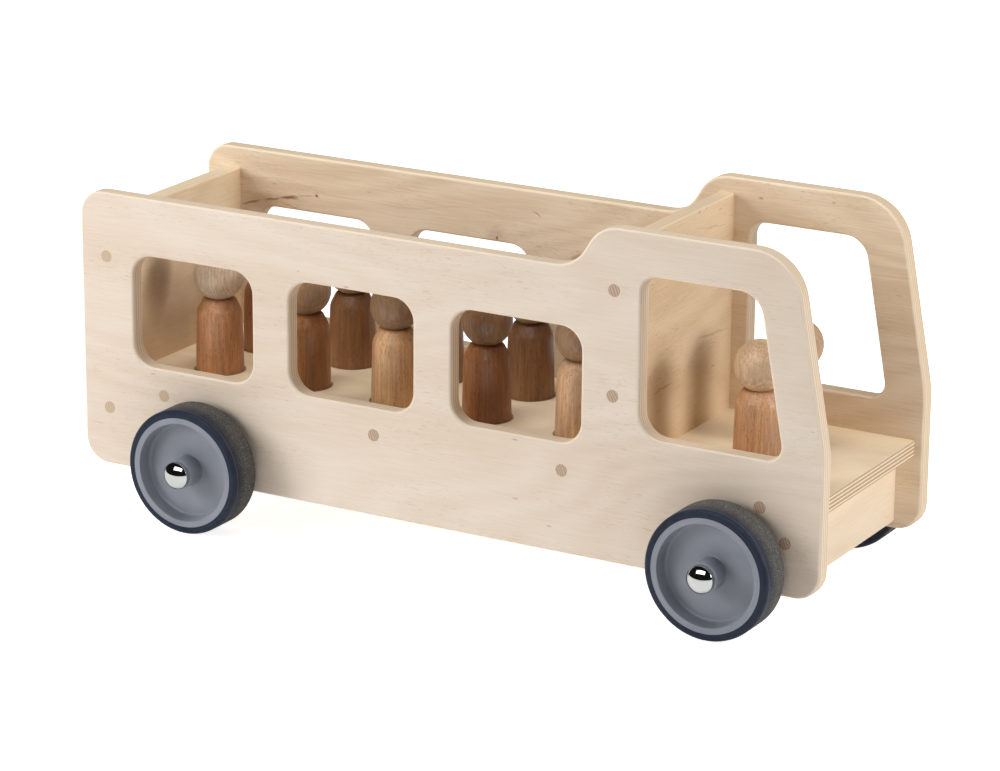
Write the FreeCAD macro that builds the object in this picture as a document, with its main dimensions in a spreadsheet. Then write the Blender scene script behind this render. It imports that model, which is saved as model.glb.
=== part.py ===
import FreeCAD, Part
import os
import Sketcher

# Wooden toy bus. Millimetres, +X to the bus's front, +Z up, origin on the ground under its middle.
# Every driving size is a cell of the sheet below, and each piece is bound to those cells.

SIZES = [
    # The plywood that all the boards are cut from
    ("board_thickness", 12.0, "nine-ply birch board"),
    ("board_rounding", 2.2, "round along every cut edge of the sides"),
    ("inner_board_rounding", 2.2, "round along the top of the rear wall and of the bulkhead"),
    ("floor_edge_rounding", 1.0, "eased front edge of the floor"),
    # Outline of a side, from its rear end and its lower edge
    ("side_length", 571.0, "rear end to front end"),
    ("side_spread", 170.0, "outer face of one side to outer face of the other"),
    ("passenger_roof_height", 197.3, "top edge over the passengers"),
    ("cab_roof_height", 227.4, "top edge over the cab"),
    ("roof_step_run", 18.1, "length over which the roof rises to the cab"),
    ("roof_step_before_bulkhead", 6.7, "head of the step behind the rear face of the bulkhead"),
    ("pillar_head_setback", 23.9, "windscreen line at the height of the cab roof, from the front end"),
    ("pillar_foot_height", 99.6, "windscreen line meets the upright front edge"),
    ("rear_foot_radius", 18.0, "lower rear corner"),
    ("front_foot_radius", 18.5, "lower front corner"),
    ("pillar_foot_radius", 95.0, "bend in the front edge"),
    ("cab_brow_radius", 35.5, "cab roof into the windscreen line"),
    ("roof_step_radius", 25.0, "both bends of the roof step"),
    ("rear_roof_radius", 18.0, "upper rear corner"),
    # Windows
    ("first_window_from_rear", 43.3, "rear edge of the rear window"),
    ("window_post", 29.9, "board left between two passenger windows"),
    ("last_window_to_bulkhead", 18.5, "front window to the rear face of the bulkhead"),
    ("window_sill", 76.7, "lower edge of the passenger windows"),
    ("window_beam", 41.2, "board left over the passenger windows"),
    ("window_radius", 15.5, "corners of the passenger windows"),
    ("cab_window_to_bulkhead", 12.7, "cab window to the front face of the bulkhead"),
    ("cab_window_head_setback", 48.5, "top front corner of the cab window from the front end"),
    ("cab_window_foot_setback", 28.5, "bottom front corner of the cab window from the front end"),
    ("cab_window_sill", 89.8, "lower edge of the cab window"),
    ("cab_window_beam", 29.1, "board left over the cab window"),
    ("cab_window_rear_head_radius", 11.0, "cab window corner, rear and top"),
    ("cab_window_front_head_radius", 17.0, "cab window corner, front and top"),
    ("cab_window_rear_foot_radius", 17.0, "cab window corner, rear and bottom"),
    ("cab_window_front_foot_radius", 10.0, "cab window corner, front and bottom"),
    # Boards between the sides
    ("floor_top", 64.7, "upper face of the floor"),
    ("floor_front_setback", 6.5, "front edge of the floor behind the front edge of the sides"),
    ("rear_wall_inset", 16.5, "rear face of the rear wall from the rear end"),
    ("rear_wall_drop", 14.6, "upper edge of the rear wall below the passenger roof edge"),
    ("bulkhead_setback", 156.6, "rear face of the bulkhead from the front end"),
    ("bulkhead_drop", 10.7, "upper edge of the bulkhead below the cab roof edge"),
    ("crossboard_setback", 31.3, "rear face of the front crossboard from the front end"),
    ("skirt_bottom", 5.7, "lower edge of the rear wall and of the crossboard"),
    # Dowels through the sides
    ("dowel_radius", 4.25, "beech dowel"),
    ("dowel_depth", 23.0, "length of dowel beyond the side"),
    ("glue_gap", 0.05, "radial room for glue round a dowel or a head's spigot"),
    ("dowel_end_gap", 0.5, "room beyond the end of a dowel or a spigot"),
    ("floor_dowel_drop", 1.2, "floor dowels below the middle of the floor's thickness"),
    ("floor_dowel_first_from_rear", 67.5, "rearmost floor dowel"),
    ("floor_dowel_second_from_rear", 237.9, "second floor dowel"),
    ("floor_dowel_third_to_bulkhead", 32.0, "third floor dowel from the bulkhead's rear face"),
    ("floor_dowel_fourth_setback", 43.9, "foremost floor dowel from the front end"),
    ("rear_wall_dowel_wall", 0.5, "wood between a dowel hole and the wall's rear face"),
    ("rear_wall_dowel_from_top", 31.2, "rear wall's upper dowel below its top edge"),
    ("rear_wall_dowel_from_foot", 36.1, "rear wall's lower dowel above its lower edge"),
    ("bulkhead_dowel_wall", 0.7, "wood between a dowel hole and the bulkhead's rear face"),
    ("bulkhead_dowel_from_top", 31.0, "bulkhead's upper dowel below its top edge"),
    ("bulkhead_dowel_from_foot", 49.9, "bulkhead's lower dowel above the floor"),
    ("crossboard_dowel_wall", 1.5, "wood between the dowel hole and the crossboard's rear face"),
    ("crossboard_dowel_from_floor", 16.4, "crossboard's dowel below the underside of the floor"),
    # Seats and the peg people that stand in them
    ("seat_radius", 17.5, "round recess in the floor"),
    ("seat_depth", 6.0, "depth of the recess"),
    ("first_seat_from_rear", 78.0, "rear pair of seats"),
    ("last_seat_to_bulkhead", 48.0, "front pair of seats from the bulkhead's rear face"),
    ("seat_row_offset", 30.2, "row of seats from the bus's middle plane"),
    ("cab_seat_setback", 73.5, "the pair of seats in the cab from the front end"),
    ("cab_seat_offset", 28.0, "cab seat from the bus's middle plane"),
    ("seat_gap", 0.3, "room round a foot in its recess"),
    ("figure_foot_rounding", 0.8, "edge under the foot"),
    ("figure_taper", 1.4, "foot wider than the body where the shoulder starts, on the radius"),
    ("figure_shoulder_drop", 8.9, "start of the shoulder below the flat under the head"),
    ("figure_neck_radius", 11.4, "flat on top of the body"),
    ("figure_body_height", 58.4, "foot to the flat under the head"),
    ("figure_shoulder_blend", 12.0, "blend from the side into the shoulder"),
    ("figure_neck_blend", 2.6, "blend from the shoulder into the flat"),
    ("figure_spigot_radius", 5.0, "spigot that the head is glued to"),
    ("figure_spigot_height", 10.0, "spigot above the flat"),
    ("head_radius", 17.4, "ball head"),
    ("head_flat_depth", 1.7, "cut off the ball where it sits on the body"),
    # Wheels and axles
    ("tyre_radius", 44.3, "outside of the tyre"),
    ("tyre_width", 27.0, "width of the tyre"),
    ("tyre_shoulder_radius", 2.8, "edges of the tread"),
    ("tyre_wall", 5.3, "tread to the seat of the tyre on the rim"),
    ("rim_key_height", 1.6, "rib that locks the tyre on the rim"),
    ("rim_key_width", 9.0, "rib that locks the tyre on the rim"),
    ("rim_lip_width", 4.2, "lip inside the seat of the tyre"),
    ("rim_well_draft", 1.4, "taper of the rim's well, on the radius"),
    ("rim_well_depth", 10.0, "outer face of the disc behind the lip"),
    ("rim_disc_thickness", 6.0, "disc between hub and rim"),
    ("rim_edge_rounding", 0.7, "edges of the rim's lip"),
    ("rim_well_blend", 2.2, "disc into the hub and into the rim"),
    ("hub_radius", 10.6, "boss round the axle"),
    ("hub_edge_rounding", 0.8, "outer edge of the boss"),
    ("hub_root_blend", 1.4, "boss into the disc"),
    ("hub_reach", 4.6, "outer face of the boss beyond the face of the tyre"),
    ("wheel_offset", 4.7, "inner face of the tyre from the side"),
    ("axle_radius", 5.0, "steel rod"),
    ("axle_chamfer", 0.6, "ends of the rod"),
    ("running_clearance", 0.08, "radial room round the rod in a hub or a side"),
    ("axle_height", 16.4, "middle of the axle above the lower edge of the sides"),
    ("rear_axle_from_rear", 102.8, "rear axle from the rear end"),
    ("front_axle_setback", 66.1, "front axle from the front end"),
    ("washer_radius", 10.0, "steel washer between side and hub"),
    ("washer_thickness", 1.2, "steel washer between side and hub"),
    ("end_play", 0.2, "gap on each side of a washer"),
    ("cap_radius", 9.5, "push-on dome cap"),
    ("cap_skirt", 0.5, "straight part of the cap"),
    ("cap_dome_height", 7.5, "rise of the dome over the straight part"),
    ("cap_gap", 0.2, "gap between a cap and the boss"),
    ("cap_grip", 5.5, "length of rod inside the cap"),
    ("cap_press_gap", 0.02, "radial room of the rod in the cap"),
    ("cut_overrun", 3.0, "how far a cutting shape runs past the face that it opens"),
]

WINDOW_COUNT = 3
PASSENGER_PAIRS = 5

doc = FreeCAD.newDocument("toy_bus")
sheet = doc.addObject("Spreadsheet::Sheet", "Sizes")
for row, (alias, value, meaning) in enumerate(SIZES, start=1):
    sheet.set("A%d" % row, alias)
    sheet.set("B%d" % row, str(value))
    sheet.set("C%d" % row, meaning)
    sheet.setAlias("B%d" % row, alias)
doc.recompute()


class Size:
    """A length worked out from the sheet: its value now, and the expression that keeps it true."""

    def __init__(self, value, text):
        self.value = value
        self.text = text

    def joined(self, sign, other, value):
        text = other.text if isinstance(other, Size) else repr(other)
        return Size(value, "(%s %s %s)" % (self.text, sign, text))

    def __add__(self, other):
        return self.joined("+", other, self.value + number(other))

    def __sub__(self, other):
        return self.joined("-", other, self.value - number(other))

    def __mul__(self, other):
        return self.joined("*", other, self.value * number(other))

    def __truediv__(self, other):
        return self.joined("/", other, self.value / number(other))

    def __neg__(self):
        return Size(-self.value, "(-1 * %s)" % self.text)


def number(size):
    return size.value if isinstance(size, Size) else float(size)


def cell(alias):
    return Size(float(sheet.get(alias)), "Sizes." + alias)


def bind(thing, prop, size):
    """Give a property its value now and tie it to the sheet."""
    thing.setExpression(prop, size.text)


def place(thing, x=None, y=None, z=None, turn=None):
    """Bind a sub-part's place. turn is a fixed rotation."""
    if turn is not None:
        thing.Placement = FreeCAD.Placement(FreeCAD.Vector(), turn)
    for axis, size in (("x", x), ("y", y), ("z", z)):
        if size is not None:
            bind(thing, "Placement.Base." + axis, size)


ABOUT_X = FreeCAD.Rotation(FreeCAD.Vector(1, 0, 0), -90)
ABOUT_X_BACK = FreeCAD.Rotation(FreeCAD.Vector(1, 0, 0), 90)
HALF_TURN = FreeCAD.Rotation(FreeCAD.Vector(0, 0, 1), 180)

# Sketch elements go by number: -1 is the sketch's X axis, which starts at its origin, -2 its Y axis.
# A line's points are 1, its start, and 2, its end, and a circle's middle is 3.


def sketch_on(body, plane, name):
    sketch = body.newObject("Sketcher::SketchObject", name)
    origin_plane = [f for f in body.Origin.OriginFeatures if f.Role == plane][0]
    sketch.AttachmentSupport = (origin_plane, [""])
    sketch.MapMode = "FlatFace"
    return sketch


def hold_point(sketch, shape_index, point, x, y):
    """Tie a sketch point to its two distances from the sketch's origin."""
    for kind, axis, size in (("DistanceX", -2, x), ("DistanceY", -1, y)):
        if size is None:
            sketch.addConstraint(Sketcher.Constraint("PointOnObject", shape_index, point, axis))
        else:
            index = sketch.addConstraint(
                Sketcher.Constraint(kind, -1, 1, shape_index, point, number(size)))
            sketch.setExpression("Constraints[%d]" % index, size.text)


def add_polygon(sketch, corners):
    """Closed outline of straight lines. A coordinate of None lies on the sketch's axis."""
    points = [FreeCAD.Vector(*[0.0 if c is None else number(c) for c in corner], 0.0) for corner in corners]
    lines = []
    for start, end in zip(points, points[1:] + points[:1]):
        lines.append(sketch.addGeometry(Part.LineSegment(start, end), False))
    for line, following in zip(lines, lines[1:] + lines[:1]):
        sketch.addConstraint(Sketcher.Constraint("Coincident", line, 2, following, 1))
    for line, (x, y) in zip(lines, corners):
        hold_point(sketch, line, 1, x, y)


def add_circle(sketch, x, y, radius):
    middle = FreeCAD.Vector(number(x), number(y), 0.0)
    circle = sketch.addGeometry(Part.Circle(middle, FreeCAD.Vector(0, 0, 1), number(radius)), False)
    hold_point(sketch, circle, 3, x, y)
    index = sketch.addConstraint(Sketcher.Constraint("Radius", circle, number(radius)))
    sketch.setExpression("Constraints[%d]" % index, radius.text)


def feature(body, kind, name, sketch, **settings):
    made = body.newObject("PartDesign::" + kind, name)
    made.Profile = sketch
    for prop, setting in settings.items():
        if isinstance(setting, Size):
            bind(made, prop, setting)
        else:
            setattr(made, prop, setting)
    doc.recompute()
    return made


def round_edges(body, name, chosen, radius):
    """Fillet the edges of the body that chosen(edge) picks."""
    base = body.Tip
    names = ["Edge%d" % n for n, edge in enumerate(base.Shape.Edges, start=1) if chosen(edge)]
    if not names:
        raise ValueError("no edge found for " + name)
    fillet = body.newObject("PartDesign::Fillet", name)
    fillet.Base = (base, names)
    bind(fillet, "Radius", radius)
    doc.recompute()


TOUCH = 1e-4


def near(a, b):
    return abs(a - b) < TOUCH


def straight(edge, direction):
    if edge.Curve.TypeId != "Part::GeomLine":
        return False
    return edge.tangentAt(edge.FirstParameter).cross(direction).Length < TOUCH


ACROSS = FreeCAD.Vector(0, 1, 0)
UPWARD = FreeCAD.Vector(0, 0, 1)


def corner_edge(x, z):
    """Picks the edge across a board's thickness at a corner of its outline."""
    def chosen(edge):
        middle = edge.CenterOfMass
        return straight(edge, ACROSS) and near(middle.x, number(x)) and near(middle.z, number(z))
    return chosen


def ring_edge(radius, along):
    """Picks the circular edge of a turned piece by its radius and its place on the axis (local Y)."""
    def chosen(edge):
        if edge.Curve.TypeId != "Part::GeomCircle":
            return False
        return near(edge.Curve.Radius, number(radius)) and near(edge.Curve.Center.y, number(along))
    return chosen


board = cell("board_thickness")
inner_width = cell("side_spread") - board * 2
half_inner = inner_width / 2
half_length = cell("side_length") / 2
side_bottom = cell("tyre_radius") - cell("axle_height")
axle_z = cell("tyre_radius")


def from_front(alias):
    """Distance from the rear end of a place that is given from the front end."""
    return cell("side_length") - cell(alias)


def above_ground(size):
    """Z in the bus's frame of a height that is given above the sides' lower edge."""
    return side_bottom + size


# Where the boards and the axles lie, from the rear end and from the lower edge of the sides

floor_underside = cell("floor_top") - board
rear_wall_x = cell("rear_wall_inset")
rear_wall_top = cell("passenger_roof_height") - cell("rear_wall_drop")
bulkhead_x = from_front("bulkhead_setback")
bulkhead_top = cell("cab_roof_height") - cell("bulkhead_drop")
crossboard_x = from_front("crossboard_setback")
AXLE_PLACES = {"front": from_front("front_axle_setback"), "rear": cell("rear_axle_from_rear")}

dowel_hole_radius = cell("dowel_radius") + cell("glue_gap")
axle_bore_radius = cell("axle_radius") + cell("running_clearance")
floor_dowel_height = cell("floor_top") - board / 2 - cell("floor_dowel_drop")
wall_dowel_x = rear_wall_x + cell("rear_wall_dowel_wall") + dowel_hole_radius
bulkhead_dowel_x = bulkhead_x + cell("bulkhead_dowel_wall") + dowel_hole_radius
crossboard_dowel_x = crossboard_x + cell("crossboard_dowel_wall") + dowel_hole_radius

DOWEL_PLACES = {
    "floor_dowels": [(cell("floor_dowel_first_from_rear"), floor_dowel_height),
                     (cell("floor_dowel_second_from_rear"), floor_dowel_height),
                     (bulkhead_x - cell("floor_dowel_third_to_bulkhead"), floor_dowel_height),
                     (from_front("floor_dowel_fourth_setback"), floor_dowel_height)],
    "rear_wall_dowels": [(wall_dowel_x, rear_wall_top - cell("rear_wall_dowel_from_top")),
                         (wall_dowel_x, cell("skirt_bottom") + cell("rear_wall_dowel_from_foot"))],
    "bulkhead_dowels": [(bulkhead_dowel_x, bulkhead_top - cell("bulkhead_dowel_from_top")),
                        (bulkhead_dowel_x, cell("floor_top") + cell("bulkhead_dowel_from_foot"))],
    "crossboard_dowels": [(crossboard_dowel_x, floor_underside - cell("crossboard_dowel_from_floor"))],
}


# The sides: one outline, four windows, and bores for the dowels and the axles


def side_outline():
    """Corners of a side before they are rounded, each with the radius that rounds it."""
    length, low, high = cell("side_length"), cell("passenger_roof_height"), cell("cab_roof_height")
    step_head = bulkhead_x - cell("roof_step_before_bulkhead")
    return [
        (None, None, cell("rear_foot_radius")),
        (length, None, cell("front_foot_radius")),
        (length, cell("pillar_foot_height"), cell("pillar_foot_radius")),
        (from_front("pillar_head_setback"), high, cell("cab_brow_radius")),
        (step_head, high, cell("roof_step_radius")),
        (step_head - cell("roof_step_run"), low, cell("roof_step_radius")),
        (None, low, cell("rear_roof_radius")),
    ]


def window_outlines():
    outlines = []
    first, post = cell("first_window_from_rear"), cell("window_post")
    row = bulkhead_x - cell("last_window_to_bulkhead") - first
    width = (row - post * (WINDOW_COUNT - 1)) / WINDOW_COUNT
    sill, top = cell("window_sill"), cell("passenger_roof_height") - cell("window_beam")
    for n in range(WINDOW_COUNT):
        rear = first + (width + post) * n
        corners = [(rear, sill), (rear + width, sill), (rear + width, top), (rear, top)]
        outlines.append([(x, y, cell("window_radius")) for x, y in corners])
    rear = bulkhead_x + board + cell("cab_window_to_bulkhead")
    sill, top = cell("cab_window_sill"), cell("cab_roof_height") - cell("cab_window_beam")
    outlines.append([
        (rear, sill, cell("cab_window_rear_foot_radius")),
        (from_front("cab_window_foot_setback"), sill, cell("cab_window_front_foot_radius")),
        (from_front("cab_window_head_setback"), top, cell("cab_window_front_head_radius")),
        (rear, top, cell("cab_window_rear_head_radius")),
    ])
    return outlines


def round_corners(body, name, corners):
    for n, (x, z, radius) in enumerate(corners, start=1):
        x_now = 0.0 if x is None else x
        z_now = 0.0 if z is None else z
        round_edges(body, "%s_corner_%d" % (name, n), corner_edge(x_now, z_now), radius)


def make_side(label):
    """A side in its own frame: X from its rear end, Z from its lower edge, board towards -Y."""
    body = doc.addObject("PartDesign::Body", label)
    outline = sketch_on(body, "XZ_Plane", label + "_outline")
    add_polygon(outline, [(x, y) for x, y, _ in side_outline()])
    feature(body, "Pad", label + "_board", outline, Length=board)
    round_corners(body, label + "_outline", side_outline())
    windows = sketch_on(body, "XZ_Plane", label + "_windows")
    for corners in window_outlines():
        add_polygon(windows, [(x, y) for x, y, _ in corners])
    # the sketch plane is the board's inner face, so the cut runs both ways
    feature(body, "Pocket", label + "_window_cut", windows, Type="ThroughAll", Midplane=True)
    for n, corners in enumerate(window_outlines(), start=1):
        round_corners(body, "%s_window_%d" % (label, n), corners)

    def face_edge(edge):
        box = edge.BoundBox
        return near(box.YMin, box.YMax)

    round_edges(body, label + "_rounding", face_edge, cell("board_rounding"))
    bores = sketch_on(body, "XZ_Plane", label + "_bores")
    for places in DOWEL_PLACES.values():
        for x, z in places:
            add_circle(bores, x, z, dowel_hole_radius)
    for x in AXLE_PLACES.values():
        add_circle(bores, x, cell("axle_height"), axle_bore_radius)
    feature(body, "Pocket", label + "_bore_cut", bores, Type="ThroughAll", Midplane=True)
    return body


for side, y in (("near", -half_inner), ("far", half_inner + board)):
    place(make_side(side + "_side"), -half_length, y, side_bottom)


# The boards between the sides, each with blind holes for its dowels in both ends

def board_dowel_holes(body, group):
    """Blind holes for a board's dowels. The board's own frame is that of the sides, Y from the middle."""
    for n, (x, z) in enumerate(DOWEL_PLACES[group], start=1):
        for side, y, turn in (("near", -half_inner, ABOUT_X), ("far", half_inner, ABOUT_X_BACK)):
            hole = body.newObject("PartDesign::SubtractiveCylinder", "%s_%s_hole_%d" % (body.Name, side, n))
            bind(hole, "Radius", dowel_hole_radius)
            bind(hole, "Height", cell("dowel_depth") + cell("dowel_end_gap"))
            place(hole, x, y, z, turn)
            doc.recompute()


def make_cross_board(label, x, bottom, top, group):
    """An upright board across the bus, with its top edge eased."""
    body = doc.addObject("PartDesign::Body", label)
    outline = sketch_on(body, "XZ_Plane", label + "_outline")
    add_polygon(outline, [(x, bottom), (x + board, bottom), (x + board, top), (x, top)])
    feature(body, "Pad", label + "_board", outline, Length=inner_width, Midplane=True)

    def top_edge(edge):
        return straight(edge, ACROSS) and near(edge.CenterOfMass.z, number(top))

    round_edges(body, label + "_rounding", top_edge, cell("inner_board_rounding"))
    board_dowel_holes(body, group)
    place(body, -half_length, None, side_bottom)


make_cross_board("rear_wall", rear_wall_x, cell("skirt_bottom"), rear_wall_top, "rear_wall_dowels")
make_cross_board("bulkhead", bulkhead_x, cell("floor_top"), bulkhead_top, "bulkhead_dowels")
make_cross_board("front_crossboard", crossboard_x, cell("skirt_bottom"), floor_underside,
                 "crossboard_dowels")

SEATS = []
first_seat_x = cell("first_seat_from_rear")
seat_pitch = (bulkhead_x - cell("last_seat_to_bulkhead") - first_seat_x) / (PASSENGER_PAIRS - 1)
for pair in range(PASSENGER_PAIRS):
    seat_x = first_seat_x + seat_pitch * pair
    SEATS.append(("near_passenger_%d" % (pair + 1), seat_x, -cell("seat_row_offset")))
    SEATS.append(("far_passenger_%d" % (pair + 1), seat_x, cell("seat_row_offset")))
SEATS.append(("near_driver", from_front("cab_seat_setback"), -cell("cab_seat_offset")))
SEATS.append(("far_driver", from_front("cab_seat_setback"), cell("cab_seat_offset")))


def make_floor():
    """The floor, from the rear wall to the front edge, with a round recess for each figure."""
    body = doc.addObject("PartDesign::Body", "floor")
    rear = rear_wall_x + board
    front = from_front("floor_front_setback")
    outline = sketch_on(body, "XZ_Plane", "floor_outline")
    add_polygon(outline, [(rear, floor_underside), (front, floor_underside),
                          (front, cell("floor_top")), (rear, cell("floor_top"))])
    feature(body, "Pad", "floor_board", outline, Length=inner_width, Midplane=True)

    def front_edge(edge):
        return straight(edge, ACROSS) and near(edge.CenterOfMass.x, number(front))

    round_edges(body, "floor_rounding", front_edge, cell("floor_edge_rounding"))
    for name, x, y in SEATS:
        recess = body.newObject("PartDesign::SubtractiveCylinder", name + "_recess")
        bind(recess, "Radius", cell("seat_radius"))
        bind(recess, "Height", cell("seat_depth") + cell("cut_overrun"))
        place(recess, x, y, cell("floor_top") - cell("seat_depth"))
        doc.recompute()
    board_dowel_holes(body, "floor_dowels")
    place(body, -half_length, None, side_bottom)


make_floor()


# Small shapes made of primitives

def primitive(kind, name, turn=None, x=None, y=None, z=None, **sizes):
    made = doc.addObject("Part::" + kind, name)
    for prop, size in sizes.items():
        bind(made, prop, size)
    place(made, x, y, z, turn)
    return made


def combined(kind, name, base, tool):
    made = doc.addObject("Part::" + kind, name)
    made.Base = base
    made.Tool = tool
    return made


def grouped(name, members):
    """Several like solids in one sub-part."""
    group = doc.addObject("Part::Compound", name)
    group.Links = members
    return group


sub_parts = ["near_side", "far_side", "rear_wall", "bulkhead", "front_crossboard", "floor"]


def make_dowels(label, places):
    """Round dowels through both sides into a board, flush with the sides' outer faces."""
    members = []
    length = board + cell("dowel_depth")
    half_spread = cell("side_spread") / 2
    for n, (x, z) in enumerate(places, start=1):
        for side, y, turn in (("near", -half_spread, ABOUT_X), ("far", half_spread, ABOUT_X_BACK)):
            members.append(primitive("Cylinder", "%s_%s_%d" % (label, side, n), turn,
                                     x - half_length, y, above_ground(z),
                                     Radius=cell("dowel_radius"), Height=length))
    grouped(label, members)
    sub_parts.append(label)


for label, places in DOWEL_PLACES.items():
    make_dowels(label, places)


# Peg people: a turned body with a spigot, and a ball head glued on it

def turned_body(label, plane, corners, axis):
    """A solid turned from a closed half section."""
    body = doc.addObject("PartDesign::Body", label)
    section = sketch_on(body, plane, label + "_section")
    add_polygon(section, corners)
    feature(body, "Revolution", label + "_turning", section, ReferenceAxis=(section, [axis]), Angle=360.0)
    return body


def level_ring(radius, height):
    """Picks the circular edge of a figure by its radius and its height."""
    def chosen(edge):
        if edge.Curve.TypeId != "Part::GeomCircle":
            return False
        return near(edge.Curve.Radius, number(radius)) and near(edge.Curve.Center.z, number(height))
    return chosen


def make_figure(name, seat_x, seat_y):
    foot = cell("seat_radius") - cell("seat_gap")
    shoulder, neck = foot - cell("figure_taper"), cell("figure_neck_radius")
    spigot = cell("figure_spigot_radius")
    body_height = cell("figure_body_height")
    shoulder_height = body_height - cell("figure_shoulder_drop")
    spigot_top = body_height + cell("figure_spigot_height")
    body = turned_body(name + "_body", "XZ_Plane", [
        (None, None), (foot, None), (shoulder, shoulder_height), (neck, body_height),
        (spigot, body_height), (spigot, spigot_top), (None, spigot_top)], "V_Axis")
    round_edges(body, name + "_foot", level_ring(foot, 0.0), cell("figure_foot_rounding"))
    shoulder_ring, neck_ring = level_ring(shoulder, shoulder_height), level_ring(neck, body_height)
    round_edges(body, name + "_shoulder", shoulder_ring, cell("figure_shoulder_blend"))
    round_edges(body, name + "_neck", neck_ring, cell("figure_neck_blend"))
    base = above_ground(cell("floor_top") - cell("seat_depth"))
    place(body, seat_x - half_length, seat_y, base)
    ball_middle = base + body_height + cell("head_radius") - cell("head_flat_depth")
    ball = primitive("Sphere", name + "_ball", None, seat_x - half_length, seat_y, ball_middle,
                     Radius=cell("head_radius"))
    # the ball's flat is a lower latitude where the sphere stops
    sine = (cell("head_radius") - cell("head_flat_depth")) / cell("head_radius")
    ball.setExpression("Angle1", "-asin(%s)" % sine.text)
    overrun = cell("cut_overrun")
    hole = primitive("Cylinder", name + "_socket", None, seat_x - half_length, seat_y,
                     base + body_height - overrun, Radius=spigot + cell("glue_gap"),
                     Height=overrun + cell("figure_spigot_height") + cell("dowel_end_gap"))
    combined("Cut", name + "_head", ball, hole)
    sub_parts.extend([name + "_body", name + "_head"])


for name, seat_x, seat_y in SEATS:
    make_figure(name, seat_x, seat_y)


# Wheels: a moulded rim with a hub, and a rubber tyre locked on it.
# Their own Y runs outwards from the outer face of the side, and X is the radius.

tyre_inner = cell("wheel_offset")
tyre_outer = tyre_inner + cell("tyre_width")
tyre_middle = tyre_inner + cell("tyre_width") / 2
key_inner = tyre_middle - cell("rim_key_width") / 2
key_outer = tyre_middle + cell("rim_key_width") / 2
rim_seat_radius = cell("tyre_radius") - cell("tyre_wall")
key_radius = rim_seat_radius + cell("rim_key_height")
hub_inner = cell("washer_thickness") + cell("end_play") * 2
hub_outer = tyre_outer + cell("hub_reach")


def make_rim(label):
    bore, hub, seat = axle_bore_radius, cell("hub_radius"), rim_seat_radius
    lip = seat - cell("rim_lip_width")
    well = lip - cell("rim_well_draft")
    disc_outer = tyre_outer - cell("rim_well_depth")
    disc_inner = disc_outer - cell("rim_disc_thickness")
    body = turned_body(label, "XY_Plane", [
        (bore, hub_inner), (hub, hub_inner), (hub, disc_inner), (well, disc_inner), (lip, tyre_inner),
        (seat, tyre_inner), (seat, key_inner), (key_radius, key_inner), (key_radius, key_outer),
        (seat, key_outer), (seat, tyre_outer), (lip, tyre_outer), (well, disc_outer), (hub, disc_outer),
        (hub, hub_outer), (bore, hub_outer)], "V_Axis")
    for name, radius, along, blend in (
            ("well_outer", well, disc_outer, "rim_well_blend"),
            ("well_inner", well, disc_inner, "rim_well_blend"),
            ("root_outer", hub, disc_outer, "hub_root_blend"),
            ("root_inner", hub, disc_inner, "hub_root_blend"),
            ("lip_outer", lip, tyre_outer, "rim_edge_rounding"),
            ("lip_inner", lip, tyre_inner, "rim_edge_rounding"),
            ("hub_edge", hub, hub_outer, "hub_edge_rounding")):
        round_edges(body, "%s_%s" % (label, name), ring_edge(radius, along), cell(blend))
    return body


def make_tyre(label):
    seat, tread = rim_seat_radius, cell("tyre_radius")
    body = turned_body(label, "XY_Plane", [
        (seat, tyre_inner), (tread, tyre_inner), (tread, tyre_outer), (seat, tyre_outer),
        (seat, key_outer), (key_radius, key_outer), (key_radius, key_inner), (seat, key_inner)], "V_Axis")
    for name, along in (("outer", tyre_outer), ("inner", tyre_inner)):
        round_edges(body, "%s_%s" % (label, name), ring_edge(tread, along), cell("tyre_shoulder_radius"))
    return body


half_spread = cell("side_spread") / 2
for axle, axle_x in AXLE_PLACES.items():
    for side, y, turn in (("near", -half_spread, HALF_TURN), ("far", half_spread, FreeCAD.Rotation())):
        for kind, make in (("rim", make_rim), ("tyre", make_tyre)):
            label = "%s_%s_%s" % (axle, side, kind)
            place(make(label), axle_x - half_length, y, axle_z, turn)
            sub_parts.append(label)


# Axles: a rod through both sides, a washer beside each, and a dome cap pushed on each end

cap_foot = half_spread + hub_outer + cell("cap_gap")
rod_reach = cap_foot + cell("cap_grip")


def ring(name, x, y, turn, outside, inside, length):
    outer = primitive("Cylinder", name + "_disc", turn, x, y, axle_z, Radius=outside, Height=length)
    hole = primitive("Cylinder", name + "_bore", turn, x, y, axle_z, Radius=inside, Height=length)
    return combined("Cut", name, outer, hole)


def make_rod(label, x):
    body = doc.addObject("PartDesign::Body", label)
    rod = body.newObject("PartDesign::AdditiveCylinder", label + "_rod")
    bind(rod, "Radius", cell("axle_radius"))
    bind(rod, "Height", rod_reach * 2)
    doc.recompute()
    chamfer = body.newObject("PartDesign::Chamfer", label + "_chamfer")
    edges = enumerate(rod.Shape.Edges, start=1)
    chamfer.Base = (rod, ["Edge%d" % n for n, edge in edges if edge.Curve.TypeId == "Part::GeomCircle"])
    bind(chamfer, "Size", cell("axle_chamfer"))
    doc.recompute()
    place(body, x, -rod_reach, axle_z, ABOUT_X)


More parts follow.
